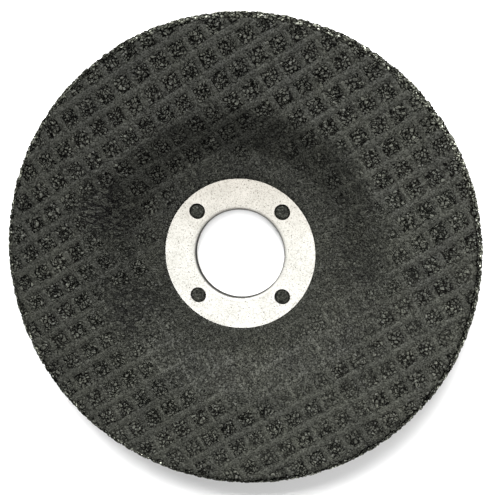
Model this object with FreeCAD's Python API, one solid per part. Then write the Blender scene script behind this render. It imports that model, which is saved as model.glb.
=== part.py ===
import FreeCAD, Part

import math
import os

# Depressed-centre grinding wheel, reinforced and resin bonded. Units: mm.
# +Z runs along the bore towards the recessed working face. The origin is the centre of the
# bore on the back face, where the wheel seats on the grinder's backing flange.

# Wheel
WHEEL_DIAMETER = 118.0
WHEEL_THICKNESS = 6.0
RECESS_DEPTH = 4.6
RECESS_FLOOR_RADIUS = 24.6
RECESS_SLOPE_ANGLE = 25.0
FLOOR_FILLET = 5.0
SHOULDER_FILLET = 8.0
RIM_CROWN = 1.5

# Layer depths, measured down from the front envelope
YARN_THICKNESS = 0.3
FRONT_ABRASIVE_TOP = YARN_THICKNESS
MID_PLANE = 3.0
BACK_ABRASIVE_BOTTOM = 5.5
LABEL_TOP = BACK_ABRASIVE_BOTTOM + YARN_THICKNESS

# Steel bush
BORE_DIAMETER = 22.23
BUSH_WALL = 0.7
BUSH_LIP_RADIUS = 0.8
BUSH_BEND_RADIUS = 0.3
FLANGE_DIAMETER = 37.6
FLANGE_SINK = 0.1
KEY_HOLE_DIAMETER = 4.0
KEY_HOLE_CIRCLE = 30.0
KEY_HOLE_COUNT = 4
KEY_HOLE_START_ANGLE = 45.0
KEY_TOP_SINK = 0.25

# Hole through the back half of the hub, wider than the bush so that it never touches the arbor
BACK_HOLE_RADIUS = 12.5

# Glass cloth: flat warp ribbons across thinner weft yarns, cut round just inside the rim
CLOTH_RADIUS = 57.0
WARP_PITCH = 5.76
WARP_WIDTH = 1.9
WARP_ANGLE = 31.0
WARP_OFFSET = 1.05
WEFT_PITCH = 5.32
WEFT_WIDTH = 1.5
WEFT_ANGLE = -60.0
WEFT_OFFSET = -0.13
MIDDLE_CLOTH_TURN = 45.0
BACK_CLOTH_TURN = 15.0
MIN_YARN_HALF_LENGTH = 12.0

# Back label
LABEL_RADIUS = 45.0

# Derived sizes
WHEEL_RADIUS = WHEEL_DIAMETER / 2
BORE_RADIUS = BORE_DIAMETER / 2
BUSH_RADIUS = BORE_RADIUS + BUSH_WALL
FLANGE_RADIUS = FLANGE_DIAMETER / 2
FLOOR_Z = WHEEL_THICKNESS
FACE_Z = FLOOR_Z + RECESS_DEPTH
RIM_MID_Z = FACE_Z - WHEEL_THICKNESS / 2
RIM_ARC_RADIUS = ((WHEEL_THICKNESS / 2) ** 2 + RIM_CROWN ** 2) / (2 * RIM_CROWN)
FLANGE_TOP = FLOOR_Z - FLANGE_SINK
FLANGE_UNDERSIDE = FLANGE_TOP - BUSH_WALL
COLLAR_END = FLOOR_Z - MID_PLANE

# Cutting tools only need to reach past what they cut
OVERSHOOT = 1.5
TOOL_INNER_RADIUS = BORE_RADIUS - 1.0

AXIS = FreeCAD.Vector(0, 0, 1)
ORIGIN = FreeCAD.Vector(0, 0, 0)


def point(radius, z):
    return FreeCAD.Vector(radius, 0, z)


def line(start, end):
    return Part.LineSegment(start, end).toShape()


def arc(start, middle, end):
    return Part.Arc(start, middle, end).toShape()


def revolve(edges):
    face = Part.Face(Part.Wire(edges))
    return face.revolve(ORIGIN, AXIS, 360)


def rim_radius(z):
    """Radius of the crowned rim at height z."""
    rise = z - RIM_MID_Z
    return WHEEL_RADIUS - RIM_ARC_RADIUS + math.sqrt(RIM_ARC_RADIUS ** 2 - rise ** 2)


def slope_points(depth):
    """The recess wall at a given depth: floor fillet, straight slope and shoulder fillet."""
    angle = math.radians(RECESS_SLOPE_ANGLE)
    fillet_rise = (FLOOR_FILLET + SHOULDER_FILLET) * (1 - math.cos(angle))
    straight = (RECESS_DEPTH - fillet_rise) / math.sin(angle)
    low_z = FLOOR_Z - depth
    high_z = FACE_Z - depth
    floor_end = point(RECESS_FLOOR_RADIUS, low_z)

    def on_floor_fillet(turn):
        return floor_end + point(FLOOR_FILLET * math.sin(turn), FLOOR_FILLET * (1 - math.cos(turn)))

    slope_start = on_floor_fillet(angle)
    slope_end = slope_start + point(straight * math.cos(angle), straight * math.sin(angle))
    shoulder_radius = slope_end.x + SHOULDER_FILLET * math.sin(angle)
    shoulder = point(shoulder_radius, high_z)

    def on_shoulder_fillet(turn):
        return shoulder - point(SHOULDER_FILLET * math.sin(turn), SHOULDER_FILLET * (1 - math.cos(turn)))

    return {
        "floor_end": floor_end,
        "floor_mid": on_floor_fillet(angle / 2),
        "slope_start": slope_start,
        "slope_end": slope_end,
        "shoulder_mid": on_shoulder_fillet(angle / 2),
        "shoulder": shoulder,
    }


def surface_edges(depth, inner_radius, outer_radius):
    """One dished surface line from the hub outwards, and its two end points."""
    turn = slope_points(depth)
    start = point(inner_radius, FLOOR_Z - depth)
    end = point(outer_radius, FACE_Z - depth)
    edges = [
        line(start, turn["floor_end"]),
        arc(turn["floor_end"], turn["floor_mid"], turn["slope_start"]),
        line(turn["slope_start"], turn["slope_end"]),
        arc(turn["slope_end"], turn["shoulder_mid"], turn["shoulder"]),
        line(turn["shoulder"], end),
    ]
    return edges, start, end


def dished_layer(top_depth, bottom_depth, inner_radius, outer_radius=None):
    """A dished ring between two depths, out to the crowned rim or to a plain edge."""
    top_outer = outer_radius or rim_radius(FACE_Z - top_depth)
    bottom_outer = outer_radius or rim_radius(FACE_Z - bottom_depth)
    top, top_start, top_end = surface_edges(top_depth, inner_radius, top_outer)
    bottom, bottom_start, bottom_end = surface_edges(bottom_depth, inner_radius, bottom_outer)
    if outer_radius:
        rim = line(top_end, bottom_end)
    else:
        middle_z = FACE_Z - (top_depth + bottom_depth) / 2
        rim = arc(top_end, point(rim_radius(middle_z), middle_z), bottom_end)
    hub = line(bottom_start, top_start)
    return revolve(top + [rim] + bottom[::-1] + [hub])


def yarn_slabs(pitch, width, angle, offset):
    """Upright parallel slabs, one for each yarn of a family."""
    reach = math.sqrt(CLOTH_RADIUS ** 2 - MIN_YARN_HALF_LENGTH ** 2)
    length = 2 * WHEEL_RADIUS
    height = FACE_Z + 2 * OVERSHOOT
    first = math.ceil((-reach - offset) / pitch)
    last = math.floor((reach - offset) / pitch)
    slabs = []
    for index in range(first, last + 1):
        side = offset + index * pitch - width / 2
        corner = FreeCAD.Vector(-length / 2, side, -OVERSHOOT)
        slab = Part.makeBox(length, width, height, corner)
        slab.rotate(ORIGIN, AXIS, angle)
        slabs.append(slab)
    return Part.makeCompound(slabs)


def warp_slabs(turn=0.0):
    return yarn_slabs(WARP_PITCH, WARP_WIDTH, WARP_ANGLE + turn, WARP_OFFSET)


def weft_slabs(turn=0.0):
    return yarn_slabs(WEFT_PITCH, WEFT_WIDTH, WEFT_ANGLE + turn, WEFT_OFFSET)


def yarns(slabs, top_depth, inner_radius):
    """One family of yarns, one yarn thick, laid along the dished surface."""
    layer = dished_layer(top_depth, top_depth + YARN_THICKNESS, inner_radius, CLOTH_RADIUS)
    return layer.common(slabs)


def groove_tool(slabs, top_depth, bottom_depth):
    """The room that a family of yarns takes out of an abrasive layer, open on one side."""
    layer = dished_layer(top_depth, bottom_depth, TOOL_INNER_RADIUS, CLOTH_RADIUS)
    return layer.common(slabs)


def key_hole_pins(radius, low_z, high_z):
    pins = []
    for index in range(KEY_HOLE_COUNT):
        angle = math.radians(KEY_HOLE_START_ANGLE + index * 360 / KEY_HOLE_COUNT)
        centre = FreeCAD.Vector(math.cos(angle), math.sin(angle), 0) * (KEY_HOLE_CIRCLE / 2)
        base = centre + AXIS * low_z
        pins.append(Part.makeCylinder(radius, high_z - low_z, base, AXIS))
    return pins


def centre_bush():
    """Pressed steel bush: a flange with four key holes and a short collar as deep as the front half."""
    lip_centre_z = FLANGE_TOP - BUSH_LIP_RADIUS
    lip_centre_radius = BORE_RADIUS + BUSH_LIP_RADIUS
    diagonal = BUSH_LIP_RADIUS * math.sqrt(0.5)
    lip_start = point(BORE_RADIUS, lip_centre_z)
    lip_middle = point(lip_centre_radius - diagonal, lip_centre_z + diagonal)
    lip_end = point(lip_centre_radius, FLANGE_TOP)
    bend_centre_z = FLANGE_UNDERSIDE - BUSH_BEND_RADIUS
    bend_centre_radius = BUSH_RADIUS + BUSH_BEND_RADIUS
    bend_diagonal = BUSH_BEND_RADIUS * math.sqrt(0.5)
    bend_start = point(bend_centre_radius, FLANGE_UNDERSIDE)
    bend_middle = point(bend_centre_radius - bend_diagonal, bend_centre_z + bend_diagonal)
    bend_end = point(BUSH_RADIUS, bend_centre_z)
    collar_inner_end = point(BORE_RADIUS, COLLAR_END)
    collar_outer_end = point(BUSH_RADIUS, COLLAR_END)
    bush = revolve([
        line(collar_inner_end, lip_start),
        arc(lip_start, lip_middle, lip_end),
        line(lip_end, point(FLANGE_RADIUS, FLANGE_TOP)),
        line(point(FLANGE_RADIUS, FLANGE_TOP), point(FLANGE_RADIUS, FLANGE_UNDERSIDE)),
        line(point(FLANGE_RADIUS, FLANGE_UNDERSIDE), bend_start),
        arc(bend_start, bend_middle, bend_end),
        line(bend_end, collar_outer_end),
        line(collar_outer_end, collar_inner_end),
    ])
    holes = key_hole_pins(KEY_HOLE_DIAMETER / 2, FLANGE_UNDERSIDE - OVERSHOOT, FLANGE_TOP + OVERSHOOT)
    return bush.cut(Part.makeCompound(holes))


def front_abrasive():
    """Front abrasive layer, pressed round the weft yarns and up through the key holes."""
    layer = dished_layer(FRONT_ABRASIVE_TOP, MID_PLANE, BUSH_RADIUS)
    seat_height = FACE_Z - FLANGE_UNDERSIDE
    seat = Part.makeCylinder(FLANGE_RADIUS, seat_height, AXIS * FLANGE_UNDERSIDE, AXIS)
    bend_relief = Part.makeCone(
        BUSH_RADIUS,
        BUSH_RADIUS + BUSH_BEND_RADIUS,
        BUSH_BEND_RADIUS,
        AXIS * (FLANGE_UNDERSIDE - BUSH_BEND_RADIUS),
        AXIS,
    )
    front_grooves = groove_tool(weft_slabs(), -OVERSHOOT, FRONT_ABRASIVE_TOP + YARN_THICKNESS)
    middle_top = MID_PLANE - YARN_THICKNESS
    middle_grooves = groove_tool(weft_slabs(MIDDLE_CLOTH_TURN), middle_top, MID_PLANE + OVERSHOOT)
    layer = layer.cut(seat).cut(bend_relief).cut(front_grooves).cut(middle_grooves)
    keys = key_hole_pins(KEY_HOLE_DIAMETER / 2, FLANGE_UNDERSIDE - YARN_THICKNESS, FLANGE_TOP - KEY_TOP_SINK)
    return layer.fuse(keys)


def back_abrasive():
    """Back abrasive layer, pressed round the middle warp and the back weft."""
    layer = dished_layer(MID_PLANE, BACK_ABRASIVE_BOTTOM, BACK_HOLE_RADIUS)
    middle_grooves = groove_tool(
        warp_slabs(MIDDLE_CLOTH_TURN), MID_PLANE - OVERSHOOT, MID_PLANE + YARN_THICKNESS)
    back_top = BACK_ABRASIVE_BOTTOM - YARN_THICKNESS
    back_grooves = groove_tool(weft_slabs(BACK_CLOTH_TURN), back_top, BACK_ABRASIVE_BOTTOM + OVERSHOOT)
    return layer.cut(middle_grooves).cut(back_grooves)


def back_label():
    """Blank paper label glued over the hub, the slope and part of the back."""
    return dished_layer(LABEL_TOP, WHEEL_THICKNESS, BACK_HOLE_RADIUS, LABEL_RADIUS)


def all_parts():
    middle_weft_top = MID_PLANE - YARN_THICKNESS
    back_weft_top = BACK_ABRASIVE_BOTTOM - YARN_THICKNESS
    return {
        "centre_bush": centre_bush(),
        "front_cloth_warp": yarns(warp_slabs(), 0, FLANGE_RADIUS),
        "front_cloth_weft": yarns(weft_slabs(), FRONT_ABRASIVE_TOP, FLANGE_RADIUS),
        "front_abrasive": front_abrasive(),
        "middle_cloth_weft": yarns(weft_slabs(MIDDLE_CLOTH_TURN), middle_weft_top, BUSH_RADIUS),
        "middle_cloth_warp": yarns(warp_slabs(MIDDLE_CLOTH_TURN), MID_PLANE, BACK_HOLE_RADIUS),
        "back_abrasive": back_abrasive(),
        "back_cloth_weft": yarns(weft_slabs(BACK_CLOTH_TURN), back_weft_top, BACK_HOLE_RADIUS),
        "back_cloth_warp": yarns(warp_slabs(BACK_CLOTH_TURN), BACK_ABRASIVE_BOTTOM, BACK_HOLE_RADIUS),
        "back_label": back_label(),
    }


def main():
    os.makedirs("parts", exist_ok=True)
    for name, shape in all_parts().items():
        shape.exportStep("parts/" + name + ".step")
        print(name, "valid", shape.isValid(), "solids", len(shape.Solids), "volume", round(shape.Volume, 1))


main()
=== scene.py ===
import itertools
import math

import bpy
import numpy as np
from mathutils import Matrix, Vector


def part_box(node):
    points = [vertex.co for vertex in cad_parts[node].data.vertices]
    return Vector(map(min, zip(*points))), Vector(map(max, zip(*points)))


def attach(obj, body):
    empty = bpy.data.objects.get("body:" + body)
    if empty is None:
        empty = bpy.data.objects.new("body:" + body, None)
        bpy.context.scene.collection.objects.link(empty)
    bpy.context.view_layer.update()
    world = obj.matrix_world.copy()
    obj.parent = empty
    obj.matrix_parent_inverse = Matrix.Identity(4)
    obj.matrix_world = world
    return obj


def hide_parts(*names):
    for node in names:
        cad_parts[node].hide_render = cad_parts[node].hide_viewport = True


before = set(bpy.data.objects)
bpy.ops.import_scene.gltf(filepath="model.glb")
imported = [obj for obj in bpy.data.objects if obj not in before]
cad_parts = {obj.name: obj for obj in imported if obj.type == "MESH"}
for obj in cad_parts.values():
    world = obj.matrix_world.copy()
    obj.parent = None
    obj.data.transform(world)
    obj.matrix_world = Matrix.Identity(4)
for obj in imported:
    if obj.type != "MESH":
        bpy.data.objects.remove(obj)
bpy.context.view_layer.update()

# ---------------------------------------------------------------- sizes, in millimetres
MM = 0.001
YARN_THICKNESS = 0.3
RECESS_FLOOR_RADIUS = 24.6
RECESS_SLOPE_ANGLE = math.radians(25.0)
FLOOR_FILLET = 5.0
SHOULDER_FILLET = 8.0
RIM_CROWN = 1.5
MID_PLANE = 3.0
KEY_HOLE_RADIUS = 2.0
KEY_HOLE_CIRCLE = 30.0
CLOTH_FRONT = {
    "warp": {"angle": 31.0, "pitch": 5.76, "width": 1.9, "offset": 1.05, "seed": 3},
    "weft": {"angle": -60.0, "pitch": 5.32, "width": 1.5, "offset": -0.13, "seed": 5},
}
BACK_TURN = 15.0
CLOTH_BACK = {
    "warp": dict(CLOTH_FRONT["warp"], angle=CLOTH_FRONT["warp"]["angle"] + BACK_TURN),
    "weft": dict(CLOTH_FRONT["weft"], angle=CLOTH_FRONT["weft"]["angle"] + BACK_TURN),
}


def box_mm(node):
    """Lowest and highest corner of a CAD node, in millimetres."""
    low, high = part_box(node)
    return np.array(low) / MM, np.array(high) / MM


_, BUSH_HIGH = box_mm("centre_bush")
WARP_LOW, WARP_HIGH = box_mm("front_cloth_warp")
LABEL_LOW, LABEL_HIGH = box_mm("back_label")
_, GRIT_HIGH = box_mm("front_abrasive")
BACK_LOW, _ = box_mm("back_abrasive")
FACE_Z = WARP_HIGH[2]
FLOOR_Z = WARP_LOW[2] + YARN_THICKNESS
THICKNESS = FLOOR_Z - LABEL_LOW[2]
RECESS_DEPTH = FACE_Z - FLOOR_Z
FLANGE_RADIUS = BUSH_HIGH[0]
FLANGE_TOP = BUSH_HIGH[2]
WHEEL_RADIUS = GRIT_HIGH[0]
CLOTH_RADIUS = 57.0
LABEL_RADIUS = LABEL_HIGH[0]
BORE_RADIUS = 11.115
BUSH_RADIUS = 11.815
BACK_HOLE_RADIUS = 12.5
RIM_MID_Z = FACE_Z - THICKNESS / 2
RIM_ARC = ((THICKNESS / 2) ** 2 + RIM_CROWN ** 2) / (2 * RIM_CROWN)
BACK_DEPTH = FLOOR_Z - BACK_LOW[2]


# ---------------------------------------------------------------- shape of the wheel
def envelope(radius):
    """Height of the front envelope: hub floor, fillet, slope, shoulder and working face."""
    sine = math.sin(RECESS_SLOPE_ANGLE)
    cosine = math.cos(RECESS_SLOPE_ANGLE)
    straight = (RECESS_DEPTH - (FLOOR_FILLET + SHOULDER_FILLET) * (1 - cosine)) / sine
    slope_start = RECESS_FLOOR_RADIUS + FLOOR_FILLET * sine
    slope_end = slope_start + straight * cosine
    shoulder_end = slope_end + SHOULDER_FILLET * sine
    on_floor = np.clip(radius, RECESS_FLOOR_RADIUS, slope_start) - RECESS_FLOOR_RADIUS
    on_shoulder = shoulder_end - np.clip(radius, slope_end, shoulder_end)
    on_slope = np.clip(radius, slope_start, slope_end) - slope_start
    rise = FLOOR_FILLET - np.sqrt(FLOOR_FILLET ** 2 - on_floor ** 2)
    rise = rise + on_slope * sine / cosine
    full = SHOULDER_FILLET * (1 - cosine)
    return FLOOR_Z + rise + full - (SHOULDER_FILLET - np.sqrt(SHOULDER_FILLET ** 2 - on_shoulder ** 2))


def rim_radius(z):
    """Radius of the slightly crowned rim at a height."""
    return WHEEL_RADIUS - RIM_ARC + np.sqrt(np.maximum(RIM_ARC ** 2 - (z - RIM_MID_Z) ** 2, 0))


def radius_of(points):
    return np.hypot(points[:, 0], points[:, 1])


def round_points(radius, angle, z):
    return np.column_stack([radius * np.cos(angle), radius * np.sin(angle), z])


def smoothstep(low, high, value):
    """0 up to the low value, 1 from the high one, with a smooth rise between them."""
    t = np.clip((value - low) / (high - low), 0, 1)
    return t * t * (3 - 2 * t)


# ---------------------------------------------------------------- repeatable noise
SEEDS = dict(
    zone_border=31, recess_patches=33, smear=41, hub_swell=43, spots=47, window_border=51,
    broad_window_border=53, crease=57, yarn_width=60, ragged_edge=83, grit=101, highlight_patches=131,
    fine_grit=151, plug_grit=201, rim_grit=301, fine_rim_grit=351, label_crinkle=401, hole_grit=501,
)


def hashed(cells, seed):
    """A repeatable random number from 0 to 1 for each row of whole numbers."""
    primes = (73856093, 19349663, 83492791)
    mixed = np.full(len(cells), seed * 2654435761 % 2 ** 31, np.int64)
    for axis in range(cells.shape[1]):
        mixed = mixed ^ (cells[:, axis] * primes[axis])
    mixed = mixed.astype(np.uint64)
    for _ in range(2):
        mixed = (mixed ^ (mixed >> np.uint64(33))) * np.uint64(0xFF51AFD7ED558CCD)
    return (mixed >> np.uint64(40)).astype(float) / 2 ** 24


def grains(points, size, seed):
    """Broken grains: each has its own level and tilt. Also gives the distance to its joint."""
    scaled = points / size
    cell = np.floor(scaled).astype(np.int64)
    dims = points.shape[1]
    nearest = np.full(len(points), 99.0)
    second = np.full(len(points), 99.0)
    level = np.zeros(len(points))
    for step in itertools.product((-1, 0, 1), repeat=dims):
        near = cell + np.array(step)
        delta = np.stack([scaled[:, k] - near[:, k] - hashed(near, seed + k) for k in range(dims)], 1)
        distance = np.sqrt((delta ** 2).sum(1))
        tilt = sum((hashed(near, seed + 10 + k) - 0.5) * delta[:, k] for k in range(dims))
        own = hashed(near, seed + 20) - 0.5 + 1.6 * tilt
        closer = distance < nearest
        second = np.where(closer, nearest, np.minimum(second, distance))
        nearest = np.where(closer, distance, nearest)
        level = np.where(closer, own, level)
    return level, second - nearest


def soft_noise(points, size, seed):
    """Smooth noise from -1 to 1 with lumps of about the given size."""
    scaled = points / size
    cell = np.floor(scaled).astype(np.int64)
    part = scaled - cell
    part = part * part * (3 - 2 * part)
    total = np.zeros(len(points))
    for corner in itertools.product((0, 1), repeat=points.shape[1]):
        weight = np.ones(len(points))
        for axis, side in enumerate(corner):
            weight = weight * (part[:, axis] if side else 1 - part[:, axis])
        total += weight * hashed(cell + np.array(corner), seed)
    return 2 * total - 1


# ---------------------------------------------------------------- glass cloth
WANDER = 0.42
WANDER_SIZE = 17.0
# Radii between which the working face's open pattern and the recess's faint one fade in.
OUTER_ZONE = (34.5, 39.0)
RECESS_PATTERN = (20.0, 26.0)
ZONE_RAGGEDNESS = 1.8
RECESS_FAINTEST = 0.20
RECESS_PATCHES = 0.44
RECESS_OPEN_SIDE = math.radians(185)
# Where each patch of folds lies and how strong it is.
WRINKLE_SPOTS = [(-33.0, 11.0, 1.0), (28.5, 1.0, 0.4), (-27.0, -14.0, 0.7)]
WRINKLE_REACH = 7.5
# Side toward which the grit is smoother and the binder and yarns are painted paler: a painted light
# gradient.
WEAR_AND_LIT_SIDE = math.radians(-52)
WEAR_AND_LIT_CORE = 15.0
# Half widths from a yarn's centre line between which the mesh window opens.
WINDOW_BORDER = {"warp": (0.80, 1.30), "weft": (0.75, 1.35)}
WINDOW_RAGGEDNESS = 0.22
BROAD_RAGGEDNESS = 0.16
# Half widths from a yarn's centre line to the fold beside it, and the fold's width.
CREASE_LINE = {"warp": (1.00, 0.16), "weft": (1.05, 0.20)}


def directions(family):
    """Unit vectors along a family's yarns and across them."""
    angle = math.radians(family["angle"])
    return np.array([math.cos(angle), math.sin(angle)]), np.array([-math.sin(angle), math.cos(angle)])


def wander(points, seed):
    """How far the yarns drift sideways, because the cloth was pulled while it was pressed."""
    return WANDER * soft_noise(points, WANDER_SIZE, seed)


def yarn_side(points, family):
    """Distance from the nearest yarn's centre line, in half widths."""
    _, across = directions(family)
    side = points @ across + wander(points, family["seed"]) - family["offset"]
    side = side - np.round(side / family["pitch"]) * family["pitch"]
    return np.abs(side) / (family["width"] / 2)


def outer_zone(points):
    """1 on the working face, falling to the faint, uneven pattern of the resin-rich recess."""
    radius = radius_of(points)
    border = radius + ZONE_RAGGEDNESS * soft_noise(points, 7.0, SEEDS["zone_border"])
    face = smoothstep(*OUTER_ZONE, border)
    turn = np.arctan2(points[:, 1], points[:, 0]) - RECESS_OPEN_SIDE
    patches = smoothstep(-0.45, 0.75, soft_noise(points, 8.0, SEEDS["recess_patches"]) + 0.5 * np.cos(turn))
    recess = (RECESS_FAINTEST + RECESS_PATCHES * patches) * smoothstep(*RECESS_PATTERN, radius)
    return np.maximum(face, recess)


def window(points, cloth):
    """1 in the middle of a mesh window and 0 under a yarn, with a ragged border."""
    ragged = WINDOW_RAGGEDNESS * soft_noise(points, 0.9, SEEDS["window_border"])
    ragged = ragged + BROAD_RAGGEDNESS * soft_noise(points, 2.3, SEEDS["broad_window_border"])
    warp = smoothstep(*WINDOW_BORDER["warp"], yarn_side(points, cloth["warp"]) + ragged)
    weft = smoothstep(*WINDOW_BORDER["weft"], yarn_side(points, cloth["weft"]) + ragged)
    return warp * weft


def crease(points, cloth):
    """1 along the narrow folds where the grit meets the sides of the yarns."""
    lines = []
    for which, (place, width) in CREASE_LINE.items():
        lines.append(np.exp(-((yarn_side(points, cloth[which]) - place) / width) ** 2))
    return np.maximum(*lines) * smoothstep(-0.2, 0.6, soft_noise(points, 2.7, SEEDS["crease"]))


def wrinkled(points):
    """1 in the middle of the patches beside the hub where resin gathered in small folds."""
    patch = np.zeros(len(points))
    for x, y, strength in WRINKLE_SPOTS:
        distance = np.hypot(points[:, 0] - x, points[:, 1] - y)
        patch = np.maximum(patch, strength * np.exp(-(distance / WRINKLE_REACH) ** 4))
    return patch


def wear_and_lit_side(points):
    """From -1 on the side with the most open grit, painted darkest, to 1 on the side that resin smooths
    most, painted palest.
    """
    toward = points[:, 0] * math.cos(WEAR_AND_LIT_SIDE) + points[:, 1] * math.sin(WEAR_AND_LIT_SIDE)
    return toward / np.maximum(radius_of(points), WEAR_AND_LIT_CORE)


# How open the grit is: a basic share, then what patches, zone and wear add or take away.
SMEAR = {"base": 0.66, "patches": 0.26, "wear_and_lit_side": 0.24}
SPOTS = {"base": 0.40, "zone": 0.45, "wear_and_lit_side": 0.15}
WRINKLE_SMOOTHING = 0.75
CREASE_OPENNESS = 0.35


def brokenness(points, cloth):
    """How open the grit is: 1 where sharp grains stand apart, near 0 where resin smooths them over."""
    zone = outer_zone(points)
    patches = smoothstep(-0.5, 0.3, soft_noise(points, 6.0, SEEDS["smear"]))
    smear = SMEAR["base"] + SMEAR["patches"] * patches - SMEAR["wear_and_lit_side"] * wear_and_lit_side(points)
    spots = smoothstep(-0.05, 0.5, soft_noise(points, 1.5, SEEDS["spots"]))
    spots = spots * (SPOTS["base"] + SPOTS["zone"] * zone - SPOTS["wear_and_lit_side"] * wear_and_lit_side(points))
    inside = window(points, cloth) * smear * np.minimum(1.3 * zone, 1)
    inside = inside * (1 - WRINKLE_SMOOTHING * wrinkled(points))
    folds = CREASE_OPENNESS * crease(points, cloth) * zone
    return np.clip(np.maximum(inside, spots * (1 - zone)) + folds, 0, 1)


GRAIN_SIZE = 0.9
GRAIN_RELIEF = 0.22
FINE_GRAIN_SIZE = 0.5
FINE_RELIEF = 0.10
JOINT_DEPTH = 0.14
FACE_DEPTH = 0.12
WINDOW_DEPTH = 0.07
HUB_DEPTH = 0.10
HUB_SWELL = 0.03
CREASE_DEPTH = 0.10


def grit_depth(points, cloth):
    """Depth of the grit surface under the envelope: rough in the windows, smoother elsewhere."""
    zone = outer_zone(points)
    broken = brokenness(points, cloth)
    level, joint = grains(points, GRAIN_SIZE, SEEDS["grit"])
    fine, _ = grains(points, FINE_GRAIN_SIZE, SEEDS["fine_grit"])
    rough = -GRAIN_RELIEF * level - FINE_RELIEF * fine + JOINT_DEPTH * (1 - smoothstep(0.0, 0.25, joint))
    face = FACE_DEPTH + WINDOW_DEPTH * window(points, cloth) + rough * (0.26 + 0.74 * broken)
    swell = HUB_SWELL * soft_noise(points, 2.2, SEEDS["hub_swell"])
    hub = HUB_DEPTH + rough * (0.24 + 0.6 * broken) + swell
    return zone * face + (1 - zone) * hub + CREASE_DEPTH * zone * crease(points, cloth)


# ---------------------------------------------------------------- mesh building
def mesh_piece(name, points, faces, material, smooth, stands_for, shades=None):
    """One visible piece. Its shades are values for each point that the material reads by name."""
    mesh = bpy.data.meshes.new(name)
    mesh.from_pydata((points * MM).tolist(), [], faces)
    for label, values in (shades or {}).items():
        mesh.attributes.new(label, "FLOAT", "POINT").data.foreach_set("value", values.astype(np.float32))
    mesh.materials.append(material)
    mesh.polygons.foreach_set("use_smooth", [smooth] * len(mesh.polygons))
    mesh.update()
    piece = bpy.data.objects.new(name, mesh)
    bpy.context.scene.collection.objects.link(piece)
    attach(piece, "root")
    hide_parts(*stands_for)


def grid_faces(rows, columns, closed, flip, start=0):
    """Quads of a grid of points stored row by row. A closed grid joins its last column to its first."""
    last = columns if closed else columns - 1
    row, column = np.meshgrid(np.arange(rows - 1), np.arange(last), indexing="ij")
    following = (column + 1) % columns
    corners = [
        row * columns + column,
        row * columns + following,
        (row + 1) * columns + following,
        (row + 1) * columns + column,
    ]
    quads = np.stack([corner.ravel() for corner in corners], 1) + start
    return (quads[:, ::-1] if flip else quads).tolist()


def ring_points(radii, count):
    """Points of concentric circles, row by row."""
    turn = np.arange(count) * 2 * math.pi / count
    radius, angle = np.meshgrid(radii, turn, indexing="ij")
    return np.stack([(radius * np.cos(angle)).ravel(), (radius * np.sin(angle)).ravel()], 1)


# ---------------------------------------------------------------- materials
def new_material(name):
    material = bpy.data.materials.new(name)
    material.use_nodes = True
    nodes = material.node_tree.nodes
    links = material.node_tree.links
    return material, nodes, links, nodes["Principled BSDF"]


def object_coordinates(nodes, links, scale=(1, 1, 1), turn=0.0):
    """Object coordinates in millimetres, turned about the bore and stretched."""
    source = nodes.new("ShaderNodeTexCoord")
    turned = nodes.new("ShaderNodeMapping")
    turned.inputs["Rotation"].default_value = (0, 0, -turn)
    turned.inputs["Scale"].default_value = (1 / MM, 1 / MM, 1 / MM)
    links.new(source.outputs["Object"], turned.inputs["Vector"])
    stretched = nodes.new("ShaderNodeMapping")
    stretched.inputs["Scale"].default_value = scale
    links.new(turned.outputs["Vector"], stretched.inputs["Vector"])
    return stretched.outputs["Vector"]


def noise_texture(nodes, links, vector, scale, detail=3.0, roughness=0.55):
    texture = nodes.new("ShaderNodeTexNoise")
    texture.inputs["Scale"].default_value = scale
    texture.inputs["Detail"].default_value = detail
    texture.inputs["Roughness"].default_value = roughness
    links.new(vector, texture.inputs["Vector"])
    return texture.outputs["Fac"]


def grain_texture(nodes, links, vector, scale, feature="F1", output="Distance"):
    texture = nodes.new("ShaderNodeTexVoronoi")
    texture.feature = feature
    texture.inputs["Scale"].default_value = scale
    links.new(vector, texture.inputs["Vector"])
    return texture.outputs[output]


def ramp(nodes, links, factor, stops):
    node = nodes.new("ShaderNodeValToRGB")
    elements = node.color_ramp.elements
    elements[0].position = stops[0][0]
    elements[0].color = (*stops[0][1], 1)
    elements[1].position = stops[-1][0]
    elements[1].color = (*stops[-1][1], 1)
    for position, colour in stops[1:-1]:
        elements.new(position).color = (*colour, 1)
    links.new(factor, node.inputs["Fac"])
    return node.outputs["Color"]


def shade_ramp(nodes, links, factor, stops):
    """A ramp of neutral greys, with one value for each stop."""
    return ramp(nodes, links, factor, [(position, (value,) * 3) for position, value in stops])


def point_shade(nodes, links, label, stops):
    """Shade from a value that each point of the mesh carries."""
    source = nodes.new("ShaderNodeAttribute")
    source.attribute_name = label
    return shade_ramp(nodes, links, source.outputs["Fac"], stops)


def curled(nodes, links, vector, scale, amount):
    """The same coordinates pushed about by noise, so that straight joints turn into curly ones."""
    noise = nodes.new("ShaderNodeTexNoise")
    noise.inputs["Scale"].default_value = scale
    noise.inputs["Detail"].default_value = 1.0
    links.new(vector, noise.inputs["Vector"])
    push = nodes.new("ShaderNodeVectorMath")
    push.operation = "MULTIPLY_ADD"
    push.inputs[1].default_value = (amount, amount, amount)
    links.new(noise.outputs["Color"], push.inputs[0])
    links.new(vector, push.inputs[2])
    return push.outputs["Vector"]


def math_node(nodes, links, operation, first, second):
    node = nodes.new("ShaderNodeMath")
    node.operation = operation
    for socket, value in zip(node.inputs, (first, second)):
        if isinstance(value, (int, float)):
            socket.default_value = value
        else:
            links.new(value, socket)
    return node.outputs["Value"]


def mix_colours(nodes, links, factor, first, second, blend="MIX"):
    node = nodes.new("ShaderNodeMix")
    node.data_type = "RGBA"
    node.blend_type = blend
    for socket, value in ((node.inputs[0], factor), (node.inputs[6], first), (node.inputs[7], second)):
        if isinstance(value, float):
            socket.default_value = value
        elif isinstance(value, tuple):
            socket.default_value = (*value, 1)
        else:
            links.new(value, socket)
    return node.outputs[2]


def tinted(nodes, links, tone, shade):
    return mix_colours(nodes, links, 1.0, tone, shade, "MULTIPLY")


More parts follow.
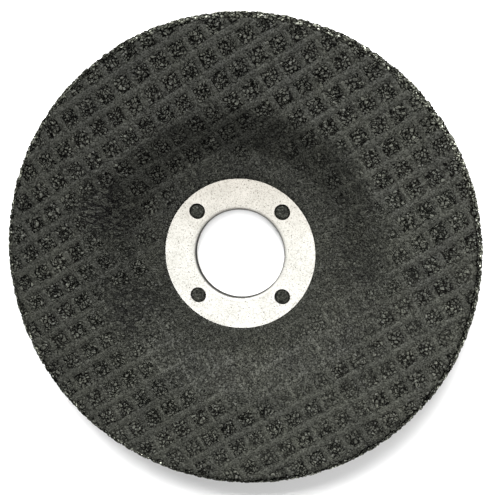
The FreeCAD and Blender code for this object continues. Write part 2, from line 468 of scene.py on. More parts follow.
def bump(nodes, links, height, distance_mm, strength=1.0, under=None):
    node = nodes.new("ShaderNodeBump")
    node.inputs["Strength"].default_value = strength
    node.inputs["Distance"].default_value = distance_mm * MM
    links.new(height, node.inputs["Height"])
    if under:
        links.new(under, node.inputs["Normal"])
    return node.outputs["Normal"]


def grey(value, warm=1.0):
    """A dark grey with the resin's slight olive warmth."""
    return (value, value * (1 + 0.035 * warm), value * (1 - 0.155 * warm))


RESIN_SPAN = 1.5
RESIN_STOPS = [(0.0, 0.0), (1.0, RESIN_SPAN)]
SPECKLE_SCALE = 2.9
CLOUD_SCALE = 0.12
JOINT_SCALE = 1.1
CHIP_SCALE = 2.4
FOLD_SCALE = 0.85
FOLD_STRETCH = (0.34, 1.0, 1.0)
FOLD_TURN = math.radians(-8)


def grit_material(name, tone_value, pit, peak, glint, gloss):
    """Sharp grains in dark resin: curly dark joints where it is broken, fine speckle elsewhere."""
    material, nodes, links, shader = new_material(name)
    vector = object_coordinates(nodes, links)
    curly = curled(nodes, links, vector, 1.1, 1.2)
    joint = grain_texture(nodes, links, curly, JOINT_SCALE, feature="DISTANCE_TO_EDGE")
    grain = grain_texture(nodes, links, curly, JOINT_SCALE, output="Color")
    chip = grain_texture(nodes, links, vector, CHIP_SCALE, output="Color")
    fine = noise_texture(nodes, links, vector, SPECKLE_SCALE, 3.0, 0.75)
    broad = noise_texture(nodes, links, vector, CLOUD_SCALE, 3.0)
    tone = ramp(nodes, links, chip, [
        (0.0, grey(tone_value * 0.30)), (0.45, grey(tone_value)),
        (0.78, grey(tone_value * (1 + 0.3 * glint))), (1.0, grey(tone_value * glint, 0.4))])
    facets = shade_ramp(nodes, links, grain, [(0.0, 1.8), (0.5, 2.6), (1.0, 3.6)])
    speckle = shade_ramp(nodes, links, fine, [(0.36, 0.10), (0.5, 1), (0.64, 2.3)])
    crevice = shade_ramp(nodes, links, joint, [(0.0, 0.02), (0.07, 0.08), (0.20, 1)])
    broken = point_shade(nodes, links, "broken", [(0.0, 0.0), (0.15, 0.08), (0.6, 0.9), (1.0, 1.0)])
    rough_look = tinted(nodes, links, facets, crevice)
    smooth_look = mix_colours(nodes, links, 0.9, (1.0, 1.0, 1.0), speckle)
    tone = tinted(nodes, links, tone, mix_colours(nodes, links, broken, smooth_look, rough_look))
    cloud = ramp(nodes, links, broad, [(0.3, (0.88, 0.88, 0.90)), (0.7, (1.08, 1.08, 1.06))])
    tone = tinted(nodes, links, tone, cloud)
    # Painted shade in the pits and painted highlight on the highest grains, from each point's depth.
    pit_shading = point_shade(nodes, links, "cavity_shade", [(0.0, peak), (0.4, 1.0), (1.0, pit)])
    tone = tinted(nodes, links, tone, pit_shading)
    # Binder tone, with the painted light and shade that each point carries.
    tone = tinted(nodes, links, tone, point_shade(nodes, links, "resin", RESIN_STOPS))
    lengthwise = object_coordinates(nodes, links, FOLD_STRETCH, FOLD_TURN)
    # Painted shade and highlight of small folds: a dark line with a paler line beside it, where the points
    # are folded.
    folds = shade_ramp(nodes, links, noise_texture(nodes, links, lengthwise, FOLD_SCALE, 2.0, 0.5), [
        (0.40, 1), (0.445, 0.04), (0.51, 0.04), (0.55, 1.6), (0.62, 1)])
    folded = point_shade(nodes, links, "folded", [(0.0, 0.0), (1.0, 1.0)])
    tone = mix_colours(nodes, links, folded, tone, tinted(nodes, links, tone, folds))
    links.new(tone, shader.inputs["Base Color"])
    roughness = shade_ramp(nodes, links, chip, [(0.0, 0.8), (0.8, 0.55), (1.0, 0.3)])
    links.new(roughness, shader.inputs["Roughness"])
    dull = shade_ramp(nodes, links, fine, [(0.36, 0), (0.64, 1)])
    sheen = mix_colours(nodes, links, broken, dull, crevice)
    links.new(math_node(nodes, links, "MULTIPLY", sheen, gloss), shader.inputs["Specular IOR Level"])
    relief = math_node(nodes, links, "ADD", math_node(nodes, links, "MULTIPLY", chip, 0.5), fine)
    grained = bump(nodes, links, relief, 0.20, 1.0)
    edges = math_node(nodes, links, "MULTIPLY", crevice, broken)
    links.new(bump(nodes, links, edges, 0.22, 0.6, grained), shader.inputs["Normal"])
    return material


def yarn_material(name, family, tone_value, shaded=True):
    """Resin-soaked glass fibres: streaks along the yarn, grime and a dull sheen.

    A shaded yarn also follows the painted light that its points carry.
    """
    material, nodes, links, shader = new_material(name)
    turn = math.radians(family["angle"])
    along = object_coordinates(nodes, links, (0.35, 3.2, 1.0), turn)
    plain = object_coordinates(nodes, links)
    fibre = noise_texture(nodes, links, along, 1.6, 4.0, 0.6)
    speck = noise_texture(nodes, links, plain, SPECKLE_SCALE, 3.0, 0.75)
    broad = noise_texture(nodes, links, plain, CLOUD_SCALE, 3.0)
    tone = ramp(nodes, links, fibre, [
        (0.32, grey(tone_value * 0.62)), (0.5, grey(tone_value)), (0.72, grey(tone_value * 1.42))])
    tone = tinted(nodes, links, tone, shade_ramp(nodes, links, speck, [(0.36, 0.30), (0.5, 1), (0.64, 1.8)]))
    cloud = ramp(nodes, links, broad, [(0.3, (0.84, 0.84, 0.86)), (0.7, (1.1, 1.1, 1.07))])
    tone = tinted(nodes, links, tone, cloud)
    if shaded:
        # Painted light that each point carries.
        tone = tinted(nodes, links, tone, point_shade(nodes, links, "resin", RESIN_STOPS))
    links.new(tone, shader.inputs["Base Color"])
    links.new(shade_ramp(nodes, links, speck, [(0.3, 0.72), (0.75, 0.5)]), shader.inputs["Roughness"])
    sheen = shade_ramp(nodes, links, speck, [(0.36, 0.0), (0.64, 0.36)])
    links.new(sheen, shader.inputs["Specular IOR Level"])
    streaked = bump(nodes, links, fibre, 0.10, 0.5)
    links.new(bump(nodes, links, speck, 0.16, 0.9, streaked), shader.inputs["Normal"])
    return material


# Painted shade in and round the bore: shade at each distance outside the bore, up to a height where it ends.
BORE_SHADE_SPAN = 20.0
BORE_SHADE_FOOT = 3.6
BORE_SHADE_HEAD = 4.0
BORE_SHADE = [(0.0, 0.01), (0.10, 0.12), (0.34, 0.58), (0.8, 0.88), (1.6, 1.0)]
STEEL_METALLIC = 0.3
STEEL_GLOSS = 0.15


def steel_material():
    """Zinc-plated pressed steel: satin, with dark pin pricks, painted shade in the bore and painted shade
    toward the top.
    """
    material, nodes, links, shader = new_material("plated_steel")
    vector = object_coordinates(nodes, links)
    grain = noise_texture(nodes, links, vector, 2.6, 4.0, 0.75)
    pits = grain_texture(nodes, links, vector, 1.15)
    fine_pits = grain_texture(nodes, links, vector, 2.7)
    cloud = noise_texture(nodes, links, vector, 0.20, 3.0)
    tone = ramp(nodes, links, grain, [
        (0.34, (0.38, 0.37, 0.345)), (0.48, (0.65, 0.64, 0.62)), (0.7, (0.70, 0.695, 0.68))])
    for factor, stops in (
        (cloud, [(0.35, (0.86, 0.86, 0.85)), (0.65, (1.0, 1.0, 1.0))]),
        (pits, [(0.09, (0.12, 0.115, 0.10)), (0.17, (1, 1, 1))]),
        (fine_pits, [(0.14, (0.40, 0.39, 0.36)), (0.26, (1, 1, 1))]),
    ):
        tone = tinted(nodes, links, tone, ramp(nodes, links, factor, stops))
    plan = nodes.new("ShaderNodeVectorMath")
    plan.operation = "MULTIPLY"
    plan.inputs[1].default_value = (1 / BORE_SHADE_SPAN, 1 / BORE_SHADE_SPAN, 0)
    links.new(vector, plan.inputs[0])
    reach = nodes.new("ShaderNodeVectorMath")
    reach.operation = "LENGTH"
    links.new(plan.outputs["Vector"], reach.inputs[0])
    # Painted shade: the bore's wall and the flange round it darker.
    darkening = ramp(nodes, links, reach.outputs["Value"], [
        ((BORE_RADIUS + edge) / BORE_SHADE_SPAN, (shade, shade, shade * 0.97)) for edge, shade in BORE_SHADE])
    across = nodes.new("ShaderNodeSeparateXYZ")
    links.new(vector, across.inputs["Vector"])
    level = math_node(nodes, links, "MULTIPLY", across.outputs["Z"], 1 / FLANGE_TOP)
    below = shade_ramp(nodes, links, level, [(BORE_SHADE_FOOT / FLANGE_TOP, 1), (BORE_SHADE_HEAD / FLANGE_TOP, 0)])
    darkening = mix_colours(nodes, links, below, darkening, (1.0, 1.0, 1.0))
    tone = tinted(nodes, links, tone, darkening)
    # Painted shade: the steel darker and warmer toward its top side.
    side = math_node(nodes, links, "MULTIPLY", across.outputs["Y"], 0.5 / FLANGE_RADIUS)
    painted_top_shade = ramp(nodes, links, math_node(nodes, links, "ADD", side, 0.5), [
        (0.0, (1.0, 1.0, 1.0)), (0.5, (0.93, 0.93, 0.92)), (1.0, (0.75, 0.72, 0.69))])
    tone = tinted(nodes, links, tone, painted_top_shade)
    links.new(tone, shader.inputs["Base Color"])
    # The painted bore shade also takes away metal and gloss.
    links.new(math_node(nodes, links, "MULTIPLY", darkening, STEEL_METALLIC), shader.inputs["Metallic"])
    links.new(math_node(nodes, links, "MULTIPLY", darkening, STEEL_GLOSS), shader.inputs["Specular IOR Level"])
    links.new(shade_ramp(nodes, links, grain, [(0.3, 0.50), (0.7, 0.40)]), shader.inputs["Roughness"])
    links.new(bump(nodes, links, grain, 0.03, 0.6), shader.inputs["Normal"])
    return material


def paper_material():
    """Plain coated paper with fine fibres and faint stains."""
    material, nodes, links, shader = new_material("label_paper")
    vector = object_coordinates(nodes, links)
    fibre = noise_texture(nodes, links, vector, 2.2, 5.0, 0.7)
    darkening = noise_texture(nodes, links, vector, 0.15, 4.0, 0.6)
    tone = ramp(nodes, links, fibre, [(0.3, (0.40, 0.385, 0.34)), (0.7, (0.56, 0.545, 0.49))])
    stained = ramp(nodes, links, darkening, [(0.35, (0.80, 0.79, 0.76)), (0.65, (1, 1, 1))])
    tone = tinted(nodes, links, tone, stained)
    links.new(tone, shader.inputs["Base Color"])
    shader.inputs["Roughness"].default_value = 0.72
    links.new(bump(nodes, links, fibre, 0.05, 0.6), shader.inputs["Normal"])
    return material


# Pit and peak set the painted shade in the pits and the painted highlight on the highest grains.
FACE_FINISH = dict(tone_value=0.0160, pit=0.65, peak=1.3, glint=2.2, gloss=0.2)
RIM_FINISH = dict(tone_value=0.0220, pit=0.02, peak=3.0, glint=9.0, gloss=0.02)
YARN_TONE = 0.0225
INNER_YARN_TONE = 0.30
GRIT = grit_material("front_grit", **FACE_FINISH)
BACK_GRIT = grit_material("back_grit", **FACE_FINISH)
RIM_GRIT = grit_material("rim_grit", **RIM_FINISH)
YARN_GLASS = {
    (face, which): yarn_material(f"{face}_{which}_glass", cloth[which], YARN_TONE)
    for face, cloth in (("front", CLOTH_FRONT), ("back", CLOTH_BACK))
    for which in ("warp", "weft")
}
INNER = yarn_material("inner_glass", CLOTH_FRONT["warp"], INNER_YARN_TONE, shaded=False)


# ---------------------------------------------------------------- front face
FACE_SPACING = 0.36
RECESS_SPACING = 0.34
FACE_BREAK = 38.0
FACE_EDGE = 57.5
SLOPE_START = (24.0, 28.0)
SLOPE_END = (33.0, 37.0)
LEAST_DEPTH = 0.01
RAGGED_EDGE = 0.22
DEEPEST_CAVITY = 0.5
CREASE_SHADE = 0.5
# How pale the binder is: a basic share, paler on the working face than in the recess, then painted shade on
# the recess's slope and painted light toward one side.
TONE_AND_PAINTED_LIGHT = {"base": 0.84, "zone": 0.23, "slope": 0.09, "wear_and_lit_side": 0.20}


def flange_groove(radius, depth, width):
    """Extra depth of the narrow groove beside the flange."""
    return depth * (1 - smoothstep(FLANGE_RADIUS, FLANGE_RADIUS + width, radius))


def edge_drop(radius, depth, width):
    """Extra depth where a face rounds over into the rim."""
    return depth * smoothstep(FACE_EDGE - width, FACE_EDGE, radius)


def front_height(points):
    """Height of the grit on the recessed side."""
    radius = radius_of(points)
    depth = grit_depth(points, CLOTH_FRONT) + flange_groove(radius, depth=0.30, width=0.35)
    depth = depth + edge_drop(radius, depth=0.16, width=0.8)
    return envelope(radius) - np.maximum(depth, LEAST_DEPTH)


def shades_of(points, cloth):
    """What the grit material reads at each point, as shares from 0 to 1.

    Cavity shade is 0 on the highest grains, painted paler, and 1 in the deepest pits, painted darker; broken
    is how open the grit is, resin is how pale the binder is, with painted light and shade added, and folded
    is 1 where it gathered in small folds, whose shade and highlight are painted.
    """
    zone = outer_zone(points)
    radius = radius_of(points)
    slope = smoothstep(*SLOPE_START, radius) * (1 - smoothstep(*SLOPE_END, radius))
    # Darker in the recess than on the working face, with painted shade on the recess's slope.
    light = TONE_AND_PAINTED_LIGHT["base"] + TONE_AND_PAINTED_LIGHT["zone"] * zone - TONE_AND_PAINTED_LIGHT["slope"] * slope
    # Painted light: the binder paler toward the lit side.
    light = light + TONE_AND_PAINTED_LIGHT["wear_and_lit_side"] * wear_and_lit_side(points)
    # Painted shade along the narrow folds beside the yarns.
    light = light * (1 - CREASE_SHADE * crease(points, cloth) * zone)
    return {
        # Painted shade: deeper grit darker.
        "cavity_shade": np.clip(grit_depth(points, cloth) / DEEPEST_CAVITY, 0, 1),
        "broken": brokenness(points, cloth),
        "resin": np.clip(light / RESIN_SPAN, 0, 1),
        "folded": wrinkled(points),
    }


def face_ring(name, inner, outer, spacing):
    """A ring of the front grit, with a ragged edge where it meets the rim."""
    rows = int((outer - inner) / spacing) + 1
    columns = int(2 * math.pi * outer / spacing)
    flat = ring_points(np.linspace(inner, outer, rows), columns)
    radius = radius_of(flat)
    ragged = edge_drop(radius, depth=RAGGED_EDGE, width=1.5) * soft_noise(flat, 1.1, SEEDS["ragged_edge"])
    flat = flat * (1 - ragged / radius)[:, None]
    points = np.column_stack([flat, front_height(flat)])
    faces = grid_faces(rows, columns, True, True)
    shades = shades_of(flat, CLOTH_FRONT)
    mesh_piece(name, points, faces, GRIT, False, ["front_abrasive"], shades)


face_ring("face_grit_recess", FLANGE_RADIUS - 0.15, FACE_BREAK + 0.02, RECESS_SPACING)
face_ring("face_grit_outer", FACE_BREAK, FACE_EDGE, FACE_SPACING)


# ---------------------------------------------------------------- yarns
YARN_STEP = 0.34
SHORTEST_HALF_YARN = 6
YARN_SHAPES = {
    "warp": {"kind": "ribbons", "columns": 7, "crosses": "weft", "crossing": (0.4, 1.6), "lift": 0.03,
             "edge": 0.13, "roundness": 2.2, "lumps_seed": 91, "grains_seed": 93, "edge_highlight": 0.14},
    "weft": {"kind": "yarns", "columns": 6, "crosses": "warp", "crossing": (0.6, 1.5), "lift": -0.10,
             "edge": 0.14, "roundness": 2.0, "lumps_seed": 95, "grains_seed": 97, "edge_highlight": 0.42},
}
YARN_TOP = 0.08
RECESS_YARN_TOP = 0.12
RECESS_YARN_EDGE = 0.16
YARN_LUMPS = 0.05
YARN_GRAINS = 0.10
YARN_GRAIN_SIZE = 0.55
YARN_SWELLING = 0.16
LEAST_YARN_DEPTH = 0.005
WRINKLE_DEPTH = 0.3


def yarn_relief(flat, u, cloth, which):
    """Depth of a yarn's surface at u, from -1 to 1 across it. The ribbons lift where they cross the weft."""
    shape = YARN_SHAPES[which]
    zone = outer_zone(flat)
    crossing = 1 - smoothstep(*shape["crossing"], yarn_side(flat, cloth[shape["crosses"]]))
    lumps = YARN_LUMPS * soft_noise(flat, 1.0, shape["lumps_seed"])
    lumps = lumps + YARN_GRAINS * grains(flat, YARN_GRAIN_SIZE, shape["grains_seed"])[0]
    top = (YARN_TOP - shape["lift"] * crossing) * zone + RECESS_YARN_TOP * (1 - zone)
    edge = (shape["edge"] * zone + RECESS_YARN_EDGE * (1 - zone)) * np.abs(u) ** shape["roundness"]
    return np.maximum(top + edge + lumps, LEAST_YARN_DEPTH) + WRINKLE_DEPTH * wrinkled(flat)


def painted_yarn_highlight(flat, u, which):
    """Painted highlight along one edge of a yarn, in patches, more of them toward the lit side."""
    highlighted = smoothstep(0.0, 0.5, soft_noise(flat, 7.0, SEEDS["highlight_patches"]) + 0.25 * wear_and_lit_side(flat))
    return YARN_SHAPES[which]["edge_highlight"] * highlighted * np.exp(-((u - 0.4) / 0.4) ** 2)


def front_yarn_height(flat, u, which):
    """Height of a yarn on the recessed side. It dips beside the flange and at the rim."""
    radius = radius_of(flat)
    depth = yarn_relief(flat, u, CLOTH_FRONT, which) + flange_groove(radius, depth=0.5, width=1.0)
    return envelope(radius) - (depth + edge_drop(radius, depth=0.2, width=0.8))


def back_yarn_height(flat, u, which):
    """Height of a yarn on the raised side, where depth is measured upward."""
    radius = radius_of(flat)
    depth = yarn_relief(flat, u, CLOTH_BACK, which) + edge_drop(radius, depth=0.3, width=0.8)
    return envelope(radius) - BACK_DEPTH - YARN_THICKNESS + depth


def yarn_runs(family, inner):
    """Number, offset, start and end of every run of yarn between the inner circle and the cloth's edge."""
    reach = CLOTH_RADIUS - 1.0
    first = math.ceil((-reach - family["offset"]) / family["pitch"])
    last = math.floor((reach - family["offset"]) / family["pitch"])
    for index in range(first, last + 1):
        offset = family["offset"] + index * family["pitch"]
        half_length = math.sqrt(CLOTH_RADIUS ** 2 - offset ** 2)
        if half_length < SHORTEST_HALF_YARN:
            continue
        if abs(offset) < inner:
            gap = math.sqrt(inner ** 2 - offset ** 2)
            yield index, offset, -half_length, -gap
            yield index, offset, gap, half_length
        else:
            yield index, offset, -half_length, half_length


def yarn_strips(face, cloth, which, inner, height_of):
    """Every yarn of one family as a crowned strip that follows the dished surface."""
    family = cloth[which]
    shape = YARN_SHAPES[which]
    along, across = directions(family)
    section = np.linspace(-1, 1, shape["columns"])
    points = []
    edge_highlight = []
    faces = []
    count = 0
    for index, offset, start, end in yarn_runs(family, inner):
        rows = max(int((end - start) / YARN_STEP), 3)
        centre = np.linspace(start, end, rows)[:, None] * along + offset * across
        centre = centre - wander(centre, family["seed"])[:, None] * across
        swelling = soft_noise(centre, 2.6, family["seed"] + SEEDS["yarn_width"] + index % 7)
        half = family["width"] / 2 * (1 + YARN_SWELLING * swelling)
        flat = centre[:, None, :] + (section[None, :] * half[:, None])[:, :, None] * across
        flat = flat.reshape(-1, 2)
        u = np.tile(section, rows)
        points.append(np.column_stack([flat, height_of(flat, u, which)]))
        edge_highlight.append(painted_yarn_highlight(flat, u, which))
        faces += grid_faces(rows, len(section), False, face == "back", count)
        count += rows * len(section)
    points = np.vstack(points)
    # Painted light: yarns paler toward the lit side, with painted highlights along one edge.
    yarn_painted_light = 1 + TONE_AND_PAINTED_LIGHT["wear_and_lit_side"] * wear_and_lit_side(points) + np.concatenate(edge_highlight)
    mesh_piece(f"{face}_{which}_{shape['kind']}", points, faces, YARN_GLASS[face, which], True,
               [f"{face}_cloth_{which}"], {"resin": np.clip(yarn_painted_light / RESIN_SPAN, 0, 1)})


yarn_strips("front", CLOTH_FRONT, "warp", FLANGE_RADIUS, front_yarn_height)
yarn_strips("front", CLOTH_FRONT, "weft", FLANGE_RADIUS, front_yarn_height)


# ---------------------------------------------------------------- key plugs in the flange
PLUG_ROWS = 9
PLUG_COLUMNS = 48
PLUG_SINK = 0.14
PLUG_ROUNDING = 0.55
PLUG_GRAIN_SIZE = 0.8
PLUG_GRAIN_RELIEF = 0.09
PLUG_JOINT_DEPTH = 0.05
PLUG_CAVITY = 1.9
PLUG_BROKENNESS = 0.1
SHELTERED_RESIN = 0.7


def key_plugs():
    """Bonded grit that was pressed up through the flange's four holes."""
    points = []
    cavity_shade = []
    faces = []
    for index in range(4):
        angle = math.radians(45 + 90 * index)
        centre = np.array([math.cos(angle), math.sin(angle)]) * KEY_HOLE_CIRCLE / 2
        local = ring_points(np.linspace(0.02, KEY_HOLE_RADIUS - 0.02, PLUG_ROWS), PLUG_COLUMNS)
        flat = local + centre
        radius = radius_of(local)
        level, joint = grains(flat, PLUG_GRAIN_SIZE, SEEDS["plug_grit"])
        height = FLANGE_TOP - PLUG_SINK + PLUG_GRAIN_RELIEF * level
        height = height - PLUG_JOINT_DEPTH * (1 - smoothstep(0, 0.2, joint))
        height = height - PLUG_ROUNDING * smoothstep(KEY_HOLE_RADIUS - 0.6, KEY_HOLE_RADIUS - 0.1, radius)
        faces += grid_faces(PLUG_ROWS, PLUG_COLUMNS, True, True, index * PLUG_ROWS * PLUG_COLUMNS)
        points.append(np.column_stack([flat, height]))
        # Painted shade: deeper grit and the rounded edge of each plug darker.
        cavity_shade.append(np.clip((FLANGE_TOP - height) * PLUG_CAVITY, 0, 1))
    cavity_shade = np.concatenate(cavity_shade)
    shades = {
        "cavity_shade": cavity_shade,
        "broken": np.full(len(cavity_shade), PLUG_BROKENNESS),
        "resin": np.full(len(cavity_shade), SHELTERED_RESIN),
    }
    mesh_piece("key_plugs", np.vstack(points), faces, GRIT, False, ["front_abrasive"], shades)


key_plugs()


# ---------------------------------------------------------------- rim
RIM_TOP = FACE_Z - 0.16
RIM_BOTTOM = FACE_Z - BACK_DEPTH + 0.15
RIM_SEAM = FACE_Z - MID_PLANE
RIM_TUCK = 1.6
RIM_TUCK_DROP = 0.75
RIM_SPACING = 0.3
RIM_COLUMNS = 1060
RIM_DEPTH = 0.16
RIM_GRAIN_SIZE = 1.1
RIM_GRAIN_RELIEF = 0.40
FINE_RIM_GRAIN_SIZE = 0.6
FINE_RIM_RELIEF = 0.16
RIM_JOINT_DEPTH = 0.26
SEAM_DEPTH = 0.08
SEAM_WIDTH = 0.2
GROOVE_SHADOW_WIDTH = 0.35
RIM_RESIN = 0.68
RIM_LIT_GAIN = 0.32
RIM_LIT_AZIMUTH = math.radians(-42)


def rim_band(name, high, low, tuck_top, stands_for):
    """Rough side of the wheel. Its outer edge tucks under the face that it meets.

    On one side the binder is painted paler, as painted light, with a painted shadow line under the front
    edge.
    """
    rows = int((high - low) / RIM_SPACING) + 2
    z_values = np.linspace(high, low, rows)
    inset = np.zeros(rows)
    if tuck_top:
        z_values = np.concatenate([[high - RIM_TUCK_DROP], z_values])
        inset = np.concatenate([[RIM_TUCK], inset])
    else:
        z_values = np.concatenate([z_values, [low + RIM_TUCK_DROP]])
        inset = np.concatenate([inset, [RIM_TUCK]])
    turn = np.arange(RIM_COLUMNS) * 2 * math.pi / RIM_COLUMNS
    z, angle = np.meshgrid(z_values, turn, indexing="ij")
    inset = np.repeat(inset, RIM_COLUMNS)
    z = z.ravel()
    angle = angle.ravel()
    base = rim_radius(z)
    solid = round_points(base, angle, z)
    level, joint = grains(solid, RIM_GRAIN_SIZE, SEEDS["rim_grit"])
    fine, _ = grains(solid, FINE_RIM_GRAIN_SIZE, SEEDS["fine_rim_grit"])
    relief = RIM_DEPTH - RIM_GRAIN_RELIEF * level - FINE_RIM_RELIEF * fine
    relief = relief + RIM_JOINT_DEPTH * (1 - smoothstep(0, 0.22, joint))
    seam = np.exp(-((z - RIM_SEAM) / SEAM_WIDTH) ** 2)
    relief = np.maximum(relief + SEAM_DEPTH * seam, 0.0)
    radius = base - relief - inset
    points = round_points(radius, angle, z)
    # Painted light: the rim's binder paler toward one side.
    lit_facing = np.cos(angle - RIM_LIT_AZIMUTH)
    # Painted shadow: a dark line under the front edge on that side.
    groove_shadow = np.exp(-((high - z) / GROOVE_SHADOW_WIDTH) ** 2) * smoothstep(0.1, 0.7, lit_facing) * tuck_top
    shades = {
        # Painted shade: deeper grit darker, and the painted shadow line.
        "cavity_shade": np.clip(np.maximum(relief / DEEPEST_CAVITY, groove_shadow), 0, 1),
        "broken": np.ones(len(relief)),
        "resin": RIM_RESIN + RIM_LIT_GAIN * lit_facing,
    }
    faces = grid_faces(len(z_values), RIM_COLUMNS, True, True)
    mesh_piece(name, points, faces, RIM_GRIT, False, [stands_for], shades)


rim_band("rim_grit_front", RIM_TOP, RIM_SEAM, True, "front_abrasive")
rim_band("rim_grit_back", RIM_SEAM, RIM_BOTTOM, False, "back_abrasive")


# ---------------------------------------------------------------- back
BACK_SPACING = 0.4
LABEL_SPACING = 0.5
LABEL_PAPER = 0.1
LABEL_LIFT = 0.005
LABEL_SAG = 0.09
LABEL_CRINKLE = 0.02
# How far the grit and the yarns run on under the label.
GRIT_LAP = 1.5
YARN_LAP = 1.2
HOLE_ROWS = 12
HOLE_COLUMNS = 320
HOLE_GRAIN_SIZE = 0.8
HOLE_DEPTH = 0.12
HOLE_GRAIN_RELIEF = 0.16
HOLE_CAVITY = 3
HOLE_BROKENNESS = 0.5


def back_height(points):
    """Height of the grit on the raised side, where depth is measured upward."""
    radius = radius_of(points)
    depth = grit_depth(points, CLOTH_BACK) + edge_drop(radius, depth=0.45, width=0.55)
    return envelope(radius) - BACK_DEPTH - YARN_THICKNESS + depth


def back_ring():
    """The back grit, from under the label out to the rim."""
    inner = LABEL_RADIUS - GRIT_LAP
    rows = int((FACE_EDGE - inner) / BACK_SPACING) + 1
    columns = int(2 * math.pi * FACE_EDGE / BACK_SPACING)
    flat = ring_points(np.linspace(inner, FACE_EDGE, rows), columns)
    points = np.column_stack([flat, back_height(flat)])
    faces = grid_faces(rows, columns, True, False)
    shades = shades_of(flat, CLOTH_BACK)
    mesh_piece("back_face_grit", points, faces, BACK_GRIT, False, ["back_abrasive"], shades)


def back_label_sheet():
    """Thin paper that the cloth under it embosses. It sags a little into the windows of the mesh."""
    inner = BACK_HOLE_RADIUS + 0.05
    rows = int((LABEL_RADIUS - inner) / LABEL_SPACING) + 1
    columns = int(2 * math.pi * LABEL_RADIUS / LABEL_SPACING)
    flat = ring_points(np.linspace(inner, LABEL_RADIUS - 0.05, rows), columns)
    radius = radius_of(flat)
    warp = yarn_side(flat, CLOTH_BACK["warp"])
    weft = yarn_side(flat, CLOTH_BACK["weft"])
    sag = LABEL_SAG * np.minimum(smoothstep(0.7, 1.7, warp), smoothstep(0.7, 1.9, weft))
    crinkle = LABEL_CRINKLE * soft_noise(flat, 1.8, SEEDS["label_crinkle"]) ** 2
    lower = envelope(radius) - THICKNESS + LABEL_LIFT + sag + crinkle
    upper = lower + LABEL_PAPER
    count = len(flat)
    points = np.vstack([np.column_stack([flat, lower]), np.column_stack([flat, upper])])
    faces = grid_faces(rows, columns, True, False) + grid_faces(rows, columns, True, True, count)
    for row, flip in ((0, False), (rows - 1, True)):
        here = row * columns + np.arange(columns)
        following = row * columns + (np.arange(columns) + 1) % columns
        quads = np.stack([here, here + count, following + count, following], 1)
        faces += (quads[:, ::-1] if flip else quads).tolist()
    mesh_piece("back_label_paper", points, faces, paper_material(), True, ["back_label"])


def back_hole_wall():
    """The hole through the back half of the hub and the ledge that it leaves round the collar."""
    drop = np.concatenate([[0.02, 0.02], np.linspace(0.06, MID_PLANE - YARN_THICKNESS, HOLE_ROWS - 2)])
    base = np.concatenate([[BUSH_RADIUS + 0.02], np.full(HOLE_ROWS - 1, BACK_HOLE_RADIUS)])
    turn = np.arange(HOLE_COLUMNS) * 2 * math.pi / HOLE_COLUMNS
    radius, angle = np.meshgrid(base, turn, indexing="ij")
    z = np.repeat(FLOOR_Z - MID_PLANE - drop, HOLE_COLUMNS)
    radius = radius.ravel()
    angle = angle.ravel()
    solid = round_points(radius, angle, z)
    relief = HOLE_DEPTH - HOLE_GRAIN_RELIEF * grains(solid, HOLE_GRAIN_SIZE, SEEDS["hole_grit"])[0]
    relief = np.where(radius < BACK_HOLE_RADIUS, 0.0, np.maximum(relief, LEAST_DEPTH))
    radius = radius + relief
    points = round_points(radius, angle, z)
    shades = {
        # Painted shade: deeper grit in the hole's wall darker.
        "cavity_shade": np.clip(relief * HOLE_CAVITY, 0, 1),
        "broken": np.full(len(relief), HOLE_BROKENNESS),
        "resin": np.full(len(relief), SHELTERED_RESIN),
    }
    faces = grid_faces(HOLE_ROWS, HOLE_COLUMNS, True, False)
    mesh_piece("back_hole_wall", points, faces, BACK_GRIT, False, ["back_abrasive"], shades)


back_ring()
back_hole_wall()
yarn_strips("back", CLOTH_BACK, "warp", LABEL_RADIUS - YARN_LAP, back_yarn_height)
yarn_strips("back", CLOTH_BACK, "weft", LABEL_RADIUS - YARN_LAP, back_yarn_height)
back_label_sheet()


# ---------------------------------------------------------------- kept CAD nodes
def repaint(node, material):
    """Gives a kept CAD node its finish."""
    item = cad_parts[node]
    item.data.materials.clear()
    item.data.materials.append(material)


repaint("centre_bush", steel_material())
repaint("middle_cloth_warp", INNER)
repaint("middle_cloth_weft", INNER)


# ---------------------------------------------------------------- floor, light and camera
CAMERA_TILT = math.radians(13.02)
CAMERA_AZIMUTH = math.radians(50.6)
CAMERA_ROLL = math.radians(-0.41)
CAMERA_DISTANCE = 0.262
CAMERA_LENS = 76.7
CAMERA_SHIFT = (0.0098, 0.0136)
FLOOR_TONE = 0.92
WORLD_STRENGTH = 0.22
BORE_LIGHT_POWER = 30.0
BORE_LIGHT_CONE = math.radians(1.38)
BORE_LIGHT_DISTANCE = 0.9
BORE_LIGHT_AIM = 0.8


def floor_and_world():
    """A pale, matt floor under an even, dim sky."""
    bpy.ops.mesh.primitive_grid_add(size=3.0, x_subdivisions=4, y_subdivisions=4)
    floor = bpy.context.object
    floor.name = "floor"
    material, _, _, shader = new_material("pale_floor")
    shader.inputs["Base Color"].default_value = (FLOOR_TONE, FLOOR_TONE, FLOOR_TONE, 1)
    shader.inputs["Roughness"].default_value = 0.9
    floor.data.materials.append(material)
    world = bpy.data.worlds.new("studio")
    bpy.context.scene.world = world
    world.use_nodes = True
    background = world.node_tree.nodes["Background"]
    background.inputs["Color"].default_value = (1, 1, 1, 1)
    background.inputs["Strength"].default_value = WORLD_STRENGTH


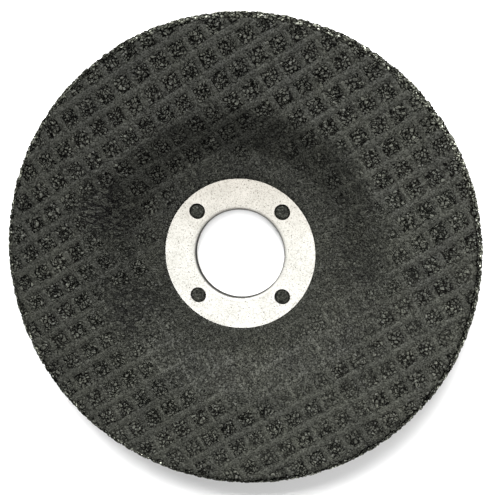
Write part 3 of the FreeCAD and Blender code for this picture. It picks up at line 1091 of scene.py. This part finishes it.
def place_light(data, direction, location):
    """A light at its place, with its back to the given direction, so that it shines the other way."""
    light = bpy.data.objects.new(data.name, data)
    bpy.context.scene.collection.objects.link(light)
    light.location = location
    light.rotation_mode = "QUATERNION"
    light.rotation_quaternion = direction.to_track_quat("Z", "Y")


def area_light(name, azimuth, elevation, distance, size, power):
    """A soft square light that points at the wheel."""
    data = bpy.data.lights.new(name, "AREA")
    data.size = size
    data.energy = power
    turn = math.radians(azimuth)
    rise = math.radians(elevation)
    direction = Vector((math.cos(turn) * math.cos(rise), math.sin(turn) * math.cos(rise), math.sin(rise)))
    place_light(data, direction, direction * distance)


def camera_direction():
    """Unit vector from the hub to the camera."""
    return Vector((
        math.sin(CAMERA_TILT) * math.cos(CAMERA_AZIMUTH),
        math.sin(CAMERA_TILT) * math.sin(CAMERA_AZIMUTH),
        math.cos(CAMERA_TILT),
    ))


def bore_light():
    """A narrow lamp on the camera's axis, so that the floor seen through the bore is as pale as the rest."""
    data = bpy.data.lights.new("bore_light", "SPOT")
    data.energy = BORE_LIGHT_POWER
    data.spot_size = BORE_LIGHT_CONE
    data.spot_blend = 0.15
    data.shadow_soft_size = 0.002
    target = Vector((0, 0, (FLANGE_TOP - BORE_LIGHT_AIM) * MM))
    direction = camera_direction()
    place_light(data, direction, direction * BORE_LIGHT_DISTANCE + target)


def add_camera():
    """Looks down on the recess, a little from the upper right."""
    data = bpy.data.cameras.new("camera")
    data.lens = CAMERA_LENS
    data.shift_x, data.shift_y = CAMERA_SHIFT
    camera = bpy.data.objects.new("camera", data)
    bpy.context.scene.collection.objects.link(camera)
    back = camera_direction()
    up_hint = Vector((-math.sin(CAMERA_ROLL), math.cos(CAMERA_ROLL), 0))
    right = up_hint.cross(back).normalized()
    up = back.cross(right)
    target = Vector((0, 0, FLANGE_TOP * MM))
    turn = Matrix((right, up, back)).transposed().to_4x4()
    camera.matrix_world = Matrix.Translation(target + back * CAMERA_DISTANCE) @ turn
    bpy.context.scene.camera = camera


floor_and_world()
area_light("key", azimuth=96, elevation=32, distance=2.4, size=2.1, power=244.0)
area_light("fill", azimuth=-38, elevation=48, distance=0.26, size=0.16, power=0.33)
bore_light()
add_camera()
bpy.context.scene.view_settings.view_transform = "Standard"
